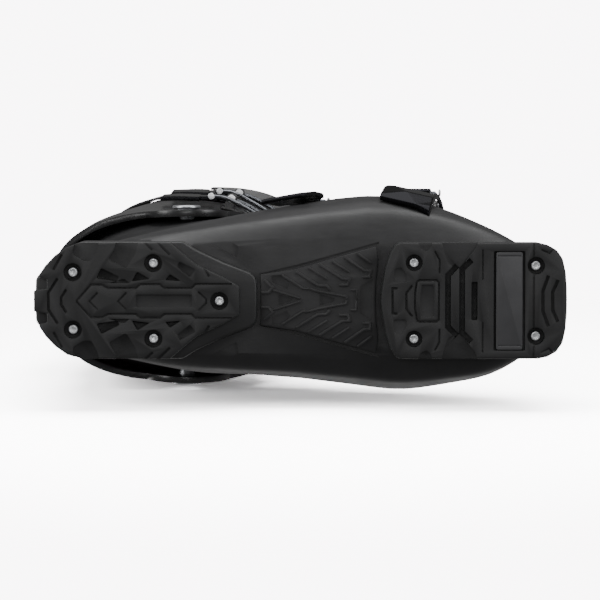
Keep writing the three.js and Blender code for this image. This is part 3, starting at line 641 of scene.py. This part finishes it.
def arch_cover():
    """Moulded cover under the arch: rows of chevron ribs round two wedges, and a recess toward the toe."""
    face = ARCH_FACE + 0.8
    outline = mirrored(from_heel([(134.3, 0), (134.3, 15.2), (156, 18.6), (203, 31.8), (204.6, 24), (203.4, 12),
                                  (203, 0)]))
    cover = slab("arch_cover", outline, face, ARCH_BACK)
    soften(cover, 0.7, 2, 20)
    cuts = [pocket(from_heel(corners), depth, face) for corners, depth in (
        (mirrored([(169.5, 0), (169.5, 3.4), (178.5, 1), (178.5, 0)]), 1.6),
        (mirrored([(145, 0), (145, 3.4), (153, 0.6), (153, 0)]), 1.6),
        (mirrored([(193.6, 0), (193.6, 8), (201, 12.8), (201, 0)]), 1.2))]
    for side in (1, -1):
        cuts.append(pocket([(HEEL_REAR + x, side * y) for x, y in
                            [(141, 14.5), (141, 10.5), (150, 6.4), (152, 9.5), (148.6, 15)]][::side], 1.3, face))
    boolean(cover, cuts)
    ribs = []
    chevrons = [
        ([(134.6, 4.4), (139, 4.4), (141.5, 7.4), (136.5, 12)], 1.6),
        ([(141.5, 6), (158, 0.8)], 1.3),
        ([(147, 14.8), (159.5, 6.8), (163.5, 6.8)], 1.4),
        ([(155.5, 16.8), (168.5, 8.6), (173.5, 8.6), (175.6, 6)], 1.8),
        ([(163.5, 7), (168, 5.2), (185.5, 2.2), (185.5, 0)], 1.5),
        ([(162.6, 19.4), (174, 12.2)], 1.4),
        ([(169.4, 21.2), (183, 12.6), (187.4, 12.6), (186.4, 9), (181, 9)], 1.8),
        ([(177, 23), (187.2, 16.4)], 1.4),
        ([(184.4, 25.6), (196, 17.6), (199.8, 17.6), (199.6, 13.8), (195, 13.8)], 1.8),
        ([(192, 27.8), (200.6, 21.6)], 1.4),
        ([(188, 6), (191.4, 6), (191.4, 0)], 1.3),
    ]
    for path, width in chevrons:
        for side in (1, -1):
            line = [(HEEL_REAR + x, side * y) for x, y in path][::side]
            rib = slab("rib", strip(line, width), ARCH_FACE - 0.4, face + 0.6)
            ribs.append(soften(rib, 0.3, 2, 30))
    cover = join([cover] + ribs, "arch_cover")
    tidy_faces(cover)
    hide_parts("arch_panel")
    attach(cover, "root")
    dress(cover, shell_pu)


def cuff():
    """Cuff with a hem that is low behind, round at the ankle and high over the instep."""
    body = loft("cuff_outer", spaced(70, 310, 6), 112, cuff_point, 0)
    inside = loft("cuff_inside", spaced(60, 320, 10), 84, cuff_point, -CUFF_WALL)
    lobe = arc((ANKLE_X, ANKLE_Z), 28, 350, 208, 22)
    hem = [(-90, 30), (150, 30), (150, 140), (ANKLE_X + 62, 133)] + lobe + [(ANKLE_X - 50, 88), (-90, 86)]
    top = rounded([(-60, 304), (20, 300), (100, 278), (160, 262), (160, 400), (-60, 400)], 12)
    boolean(body, [inside])
    for tool in (wall_plate("below_hem", hem), wall_plate("above_top", top),
                 cross_bar("pivot_hole", ANKLE_X, ANKLE_Z, PIVOT_HOLE_RADIUS, -80, 80),
                 cap_block("lock_slot", -60, -25, -6, 6, 60, 118),
                 cap_block("front_slit", ANKLE_X, 160, 16, 18, 60, 320)):
        boolean(body, [tool])
    soften(body, 0.9, 2, 50)
    body.name = "cuff_smooth"
    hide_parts("cuff_shell")
    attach(body, "cuff")
    dress(body, cuff_pu)


lower_shell()
arch_cover()
cuff()


# ---------------------------------------------------------------- liner, throat and strap

def soft_cloth(name, dark, light, thread_mm, depth_mm, ribs_mm=None, roughness=0.85):
    """Cloth whose threads cross, with an optional run of ribs, and a slow drift of its black."""
    material, tree, shader, place = new_material(name)
    drift = node(tree, "ShaderNodeTexNoise", {"Vector": place, "Scale": 1 / (20 * MM), "Detail": 3.0})
    colour = node(tree, "ShaderNodeMix", {0: drift.outputs["Fac"], 6: linear(dark), 7: linear(light)},
                  data_type="RGBA")
    tree.links.new(colour.outputs[2], shader.inputs["Base Color"])
    rows = node(tree, "ShaderNodeTexWave",
                {"Vector": place, "Scale": 0.314 / (thread_mm * MM), "Distortion": 0.6}, bands_direction="Z")
    across = node(tree, "ShaderNodeTexWave",
                  {"Vector": place, "Scale": 0.314 / ((ribs_mm or thread_mm) * MM)}, bands_direction="DIAGONAL")
    weave = node(tree, "ShaderNodeMath",
                 {0: rows.outputs["Fac"], 1: across.outputs["Fac"]}, operation="MULTIPLY")
    bump = node(tree, "ShaderNodeBump",
                {"Height": weave.outputs[0], "Strength": 0.8, "Distance": depth_mm * MM})
    tree.links.new(bump.outputs["Normal"], shader.inputs["Normal"])
    shader.inputs["Roughness"].default_value = roughness
    shader.inputs["Sheen Weight"].default_value = 0.25
    return material


# Brushed knit over the liner's foam: soft, with a faint sheen at grazing angles
liner_knit = soft_cloth("liner_brushed_knit", "#1a1a1b", "#242425", 1.1, 0.15)
# Denser quilted face of the tongue
tongue_knit = soft_cloth("tongue_quilted_knit", "#222223", "#2b2b2c", 1.6, 0.3, 7)
# Polyester webbing: flat threads in tight rows that catch light as fine stripes
strap_webbing = soft_cloth("polyester_webbing", "#161617", "#1f1f20", 1.5, 0.25, 3, 0.6)


def relax(piece, voxel_mm, smooth=6):
    """Even fine faces over a padded piece, then its edges rounded off."""
    apply_modifier(piece, "REMESH", mode="VOXEL", voxel_size=voxel_mm * MM)
    apply_modifier(piece, "SMOOTH", factor=0.5, iterations=smooth)
    pick(piece)
    bpy.ops.object.shade_smooth()
    return piece


# The liner's shape passes from the shell's to the cuff's; these are its insets inside each, and its foam's thickness
LINER_IN_SHELL = 6.8
LINER_IN_CUFF = 6.2
LINER_FOAM = 8.6


def liner_point(z, angle, offset):
    """The liner follows the shell at the foot and the cuff at the shin."""
    share = min(max((z - 100) / 50, 0), 1)
    share = share * share * (3 - 2 * share)
    low = shell_point(min(z, 146), angle, offset - LINER_IN_SHELL)
    high = cuff_point(z, angle, offset - LINER_IN_CUFF)
    return blend_to(low[0], high[0], share), blend_to(low[1], high[1], share)


def boot_liner():
    """Foam inner boot in one piece; it follows the shell at the foot and the cuff at the shin."""
    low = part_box("liner_foot")[0][2] / MM + 0.3
    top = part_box("liner_cuff")[1][2] / MM
    liner = loft("boot_liner", spaced(low, 146, 6) + spaced(152, 326, 8), 72, liner_point, 0)
    inside = loft("liner_inside", spaced(low + 5, 146, 6) + spaced(152, 340, 8), 60, liner_point, -LINER_FOAM)
    boolean(liner, [inside])
    collar = [(-80, top + 1.5), (10, top), (60, top - 9), (170, top - 32), (170, 400), (-80, 400)]
    boolean(liner, [wall_plate("above", collar)])
    boolean(liner, [cap_block("tongue_gap", 58, 170, -22, 22, 126, 400)])
    relax(liner, 2.8)
    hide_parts("liner_foot", "liner_cuff")
    dress(liner, liner_knit)
    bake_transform(liner)


def liner_tongue():
    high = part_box("liner_tongue")[1] / MM
    outer = loft("tongue_pad", spaced(122, 340, 8), 72, liner_point, 0.4)
    boolean(outer, [loft("tongue_inside", spaced(110, 350, 8), 60, liner_point, -10.5)])
    # Rounded top, drawn across the boot
    front = [(-21.5, 60), (21.5, 60), (21.5, 306), (19, 320), (12, high[2] - 3), (0, high[2] + 1),
             (-12, high[2] - 3), (-19, 320), (-21.5, 306)]
    keep = slab("tongue_keep", front, 61, 200)
    keep.rotation_euler = (math.radians(90), 0, math.radians(90))
    settle(keep)
    boolean(outer, [keep], "INTERSECT")
    relax(outer, 2.2, 8)
    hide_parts("liner_tongue")
    dress(outer, tongue_knit)
    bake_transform(outer)


def trim(piece, drop):
    """Deletes the points of a sheet where drop is true."""
    pick(piece)
    bpy.ops.object.mode_set(mode="EDIT")
    bpy.ops.mesh.select_all(action="DESELECT")
    bpy.ops.object.mode_set(mode="OBJECT")
    for vertex in piece.data.vertices:
        vertex.select = drop(*(vertex.co / MM))
    bpy.ops.object.mode_set(mode="EDIT")
    bpy.ops.mesh.delete(type="VERT")
    bpy.ops.object.mode_set(mode="OBJECT")
    return piece


def plate_from(piece, thickness, offset):
    outward(piece)
    return apply_modifier(piece, "SOLIDIFY", thickness=thickness * MM, offset=offset, use_even_offset=True)


def throat():
    """Two thin overlapping flaps that close the lower shell over the instep, inside the cuff."""
    for name, offset, drop in (
            ("throat_flap_under", -3.4, lambda x, y, z: x < 38 or y > 22 or z > 134),
            ("throat_flap_over", -1.0, lambda x, y, z: x < 38 or y < -9 or z > 136)):
        flap = loft(name, spaced(96, 138, 2), 112, shell_point, offset, capped=False)
        trim(flap, drop)
        plate_from(flap, 1.9, -1)
        soften(flap, 0.5, 2, 50)
        dress(flap, shell_pu)
        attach(flap, "root")


STRAP_WIDTH = 44
STRAP_THICKNESS = 1.7


def strap_top(x):
    return 292 - 12 * (x + 80) / 240


def strap_point(offset_mm):
    """Place on the cuff at one height above the strap's lower edge, which falls toward the front."""
    def point(z, angle, _):
        x = ANKLE_X
        for _step in range(4):
            level = strap_top(x) - STRAP_WIDTH + z
            x, y = cuff_point(level, angle, offset_mm)
        return x, y
    return point


def strap_band(name, offset_mm, drop=None):
    """Webbing round the cuff, at a height that falls toward the front."""
    rows = spaced(0, STRAP_WIDTH, 2.2)
    band = loft(name, rows, 144, strap_point(offset_mm), 0, capped=False)
    for vertex in band.data.vertices:
        vertex.co.z += (strap_top(vertex.co.x / MM) - STRAP_WIDTH) * MM
    if drop:
        trim(band, drop)
    edges = [band.data.vertices[e.vertices[0]].co - band.data.vertices[e.vertices[1]].co for e in band.data.edges]
    length = sum(edge.length for edge in edges if abs(edge.z) < 0.5 * edge.length)
    plate_from(band, STRAP_THICKNESS, 1)
    soften(band, 0.5, 2, 50)
    return band, length / len(rows)


def power_strap():
    band, length = strap_band("strap_band", 0.7)
    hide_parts("power_strap")
    flap, flap_length = strap_band("strap_end", 3.1, lambda x, y, z: x < 50 or y > -14)
    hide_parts("strap_flap")
    for piece in (band, flap):
        dress(piece, strap_webbing)
        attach(piece, "cuff")


boot_liner()
liner_tongue()
throat()
power_strap()


# ---------------------------------------------------------------- buckles, walk lock and fittings

# Black anodised aluminium of the levers: dark, smooth, with crisp highlights on its edges
black_anodised = metal("black_anodised_aluminium", "#1c1c1e", 0.26, 0.5, 0.006)
# Black-chromed steel wire of the bails: dark, with one narrow bright line along each wire
dark_wire = metal("black_chromed_wire", "#6a6c70", 0.2, 0.3, 0.004)
# Blackened cast alloy of the bases and ladders: satin, with a cast grain
cast_alloy = moulded("blackened_cast_alloy", "#161617", "#202021", 0.36, 0.6, 0.03, coat=0.15)
# Glass-filled nylon of the spine and the walk lever: dull with a fine grain
nylon = moulded("glass_filled_nylon", "#1a1a1b", "#232324", 0.45, 0.8, 0.05)
# Pressed steel of the walk lock
pressed_steel = metal("pressed_zinc_steel", "#b9bbbe", 0.34, 0.6, 0.01)
# Grey board and insole under the foot, seen only down the shaft
board_plastic = moulded("polyethylene_board", "#3a3c3f", "#424447", 0.6, 1.2, 0.05)
insole_felt = soft_cloth("insole_felt", "#505357", "#5b5e62", 1.2, 0.1)

BODY_OF = {name: body for body, names in frame["record"]["behaviour"]["bodies"].items() for name in names}


def node_copy(cad_name, name):
    """Copy of a CAD node's mesh with its places written in, its doubles merged, standing for the node."""
    source = frame["nodes"][cad_name]
    piece = source.copy()
    piece.data = source.data.copy()
    piece.parent = None
    piece.matrix_world = source.matrix_world.copy()
    bpy.context.collection.objects.link(piece)
    piece.name = name
    settle(piece)
    outward(piece)
    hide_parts(cad_name)
    return piece


def cast_copy(cad_name, material, voxel_mm=0.5, smooth=5):
    """Soft-edged casting of a CAD node."""
    piece = node_copy(cad_name, f"{cad_name}_cast")
    relax(piece, voxel_mm, smooth)
    dress(piece, material)
    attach(piece, BODY_OF[cad_name])
    return piece


def edged_copy(cad_name, material, width=0.4, angle=30):
    """Machined or pressed piece: its edges are broken by a narrow bevel."""
    piece = node_copy(cad_name, f"{cad_name}_edged")
    apply_modifier(piece, "DECIMATE", decimate_type="DISSOLVE", angle_limit=math.radians(2))
    soften(piece, width, 2, angle)
    dress(piece, material)
    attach(piece, BODY_OF[cad_name])
    return piece


def domed_head(name, centre, axis, radius, rise, material, drive=0.0):
    """Round head with a domed face and an optional six-lobe drive, looking along axis from centre."""
    clear_selection()
    bpy.ops.mesh.primitive_cylinder_add(vertices=40, radius=radius * MM, depth=rise * MM,
                                        location=(0, 0, rise * MM / 2))
    head = settle(bpy.context.object)
    soften(head, min(rise * 0.55, radius * 0.4), 5, 40)
    if drive:
        boolean(head, [slab("drive", star(drive, drive * 0.72), rise - 0.9, rise + 2)])
        soften(head, 0.1, 2, 45)
    head.location = centre
    head.rotation_euler = Vector(axis).to_track_quat("Z", "Y").to_euler()
    settle(head)
    head.name = name
    dress(head, material)
    return head


def cuff_pivots():
    """Pivot bolts of the ankle: a shank through both walls and a wide domed head."""
    for cad_name, side in (("cuff_pivot_lateral", -1), ("cuff_pivot_medial", 1)):
        low, high = (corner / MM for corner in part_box(cad_name))
        outer = high[1] if side > 0 else low[1]
        inner = low[1] if side > 0 else high[1]
        head = domed_head(f"{cad_name}_head", (ANKLE_X * MM, (outer - side * 2.5) * MM, ANKLE_Z * MM),
                          (0, side, 0), 9, 2.5, pressed_steel, 3.4)
        shank = cross_bar("shank", ANKLE_X, ANKLE_Z, 5.6, *sorted((-inner, -(outer - side * 1.5))))
        dress(shank, pressed_steel)
        both = join([head, shank], f"{cad_name}_bolt")
        tidy_faces(both)
        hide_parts(cad_name)
        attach(both, "cuff")


def buckle(name):
    cast_copy(f"{name}_lever", black_anodised, 0.5, 7)
    cast_copy(f"{name}_bail", dark_wire, 0.4, 5)
    cast_copy(f"{name}_base", cast_alloy, 0.55, 3)
    cast_copy(f"{name}_ladder", cast_alloy, 0.55, 3)
    edged_copy(f"{name}_pin", zinc_steel, 0.2)
    edged_copy(f"{name}_rivet", zinc_steel, 0.5)


for buckle_name in ("toe_buckle", "instep_buckle", "lower_cuff_buckle", "upper_cuff_buckle"):
    buckle(buckle_name)
cuff_pivots()
cast_copy("rear_spine", nylon, 0.8, 3)
cast_copy("walk_lever", nylon, 0.5, 6)
edged_copy("walk_lever_pin", zinc_steel, 0.3)
edged_copy("lock_bar", pressed_steel, 0.5)
edged_copy("lock_bracket", pressed_steel, 0.6)
cast_copy("boot_board", board_plastic, 1.5, 3)
insole = cast_copy("insole", insole_felt, 1.2, 4)


def pin_ends():
    """Bright peened ends of the hinge pins, seen at each end of a buckle's knuckle and of its bail's eye."""
    for joint in frame["record"]["behaviour"]["joints"]:
        owner, kind = joint["name"].rsplit("_", 2)[0], joint["name"].rsplit("_", 2)[1]
        if kind not in ("lever", "bail") or not owner.endswith("buckle"):
            continue
        if kind == "lever":
            reach, radius, body = 10.4, 2.7, BODY_OF[f"{owner}_base"]
        else:
            reach, radius, body = 13.7, 2.2, f"{owner}_bail"
        axis = Vector(joint["axis"]).normalized()
        for end in (1, -1):
            head = domed_head(f"{owner}_{kind}_pin_end_{'a' if end > 0 else 'b'}",
                              Vector(joint["pos_m"]) + axis * end * reach * MM, axis * end, radius, 0.9,
                              zinc_steel)
            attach(head, body)


pin_ends()


# ---------------------------------------------------------------- stage, light and camera

PAPER_GAIN = 8.0
REST_SPAN = 0.223
FLOOR_GAP = 0.0008
FLOOR_SIZE = 3


def floor_paper():
    """Matt white paper that thins out to nothing far from the boot, and shows from its upper side only."""
    material, tree, shader, spot = new_material("matt_paper_sweep")
    shader.inputs["Base Color"].default_value = linear("#e8e7e8")
    shader.inputs["Roughness"].default_value = 0.9
    camera_only = node(tree, "ShaderNodeLightPath").outputs["Is Camera Ray"]
    bright = node(tree, "ShaderNodeBsdfDiffuse",
                  {"Color": (PAPER_GAIN, PAPER_GAIN * 0.985, PAPER_GAIN * 0.99, 1)})
    paper = node(tree, "ShaderNodeMixShader", {0: camera_only, 1: shader.outputs[0], 2: bright.outputs[0]})
    behind = node(tree, "ShaderNodeNewGeometry").outputs["Backfacing"]
    reach = node(tree, "ShaderNodeVectorMath", {0: spot}, operation="LENGTH").outputs["Value"]
    fade = node(tree, "ShaderNodeMapRange", {"Value": reach, "From Min": 0.22, "From Max": 0.62},
                interpolation_type="SMOOTHERSTEP").outputs["Result"]
    gone = node(tree, "ShaderNodeMath", {0: behind, 1: fade}, operation="MAXIMUM").outputs[0]
    clear = node(tree, "ShaderNodeBsdfTransparent")
    front = node(tree, "ShaderNodeMixShader", {0: gone, 1: paper.outputs[0], 2: clear.outputs[0]})
    tree.links.new(front.outputs[0], tree.nodes["Material Output"].inputs["Surface"])
    return material


def stage():
    """Floor under the lying boot, which rests on its forefoot and its cuff, and one under the standing boot."""
    paper = floor_paper()
    slope = math.atan2(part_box("cuff_shell")[1][1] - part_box("lower_shell")[1][1], REST_SPAN)
    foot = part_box("lower_shell")[1][1] + FLOOR_GAP
    clear_selection()
    bpy.ops.mesh.primitive_plane_add(size=FLOOR_SIZE, location=(0.1, foot + 0.11 * math.tan(slope), 0.152),
                                     rotation=(math.pi / 2 + slope, 0, 0))
    lying = bpy.context.object
    lying.name = "floor_beside"
    clear_selection()
    bpy.ops.mesh.primitive_plane_add(size=FLOOR_SIZE, location=(0.1, 0, -0.0003))
    standing = bpy.context.object
    standing.name = "floor_below"
    for floor in (lying, standing):
        dress(floor, paper)
        floor.visible_shadow = False
        floor.visible_diffuse = False
        floor.visible_glossy = False


def softbox(name, location, target, size, power):
    light = bpy.data.lights.new(name, "AREA")
    light.shape = "RECTANGLE"
    light.size, light.size_y = size
    light.energy = power
    lamp = bpy.data.objects.new(name, light)
    bpy.context.collection.objects.link(lamp)
    lamp.location = location
    lamp.rotation_euler = (Vector(target) - Vector(location)).to_track_quat("-Z", "Y").to_euler()


def light_and_camera():
    world = bpy.data.worlds.new("studio")
    bpy.context.scene.world = world
    world.use_nodes = True
    tree = world.node_tree
    sky = tree.nodes["Background"]
    sky.inputs["Color"].default_value = linear("#ffffff")
    sky.inputs["Strength"].default_value = 0.2
    seen = node(tree, "ShaderNodeBackground", {"Color": linear("#fffbfd"), "Strength": 8.6})
    camera_only = node(tree, "ShaderNodeLightPath").outputs["Is Camera Ray"]
    mixed = node(tree, "ShaderNodeMixShader", {0: camera_only, 1: sky.outputs[0], 2: seen.outputs[0]})
    tree.links.new(mixed.outputs[0], tree.nodes["World Output"].inputs["Surface"])
    middle = (0.11, 0, 0.1)
    softbox("overhead", (0.1, -1.3, -0.05), middle, (1.6, 0.9), 20)
    softbox("beside_left", (-0.9, -0.5, -0.5), middle, (0.8, 0.6), 8)
    softbox("beside_right", (1.0, -0.4, -0.45), middle, (0.6, 0.5), 5)
    softbox("front_card", (0.12, -0.3, -1.6), middle, (0.6, 0.18), 2.6)
    softbox("inner_side", (0.3, 1.1, 0.9), middle, (1.0, 1.0), 3)
    softbox("behind", (-1.0, 0.3, 0.8), middle, (0.8, 0.8), 7)

    distance = 1.48
    tilt = math.radians(3.0)
    aim = Vector((0.1128, -0.0006, 0))
    camera_data = bpy.data.cameras.new("camera")
    camera_data.lens = 150
    camera_data.sensor_width = 36
    camera = bpy.data.objects.new("camera", camera_data)
    bpy.context.collection.objects.link(camera)
    camera.location = aim + distance * Vector((0, -math.sin(tilt), -math.cos(tilt)))
    camera.rotation_euler = (math.pi - tilt, 0, 0)
    camera_data.clip_start, camera_data.clip_end = 0.05, 30
    bpy.context.scene.camera = camera


stage()
light_and_camera()
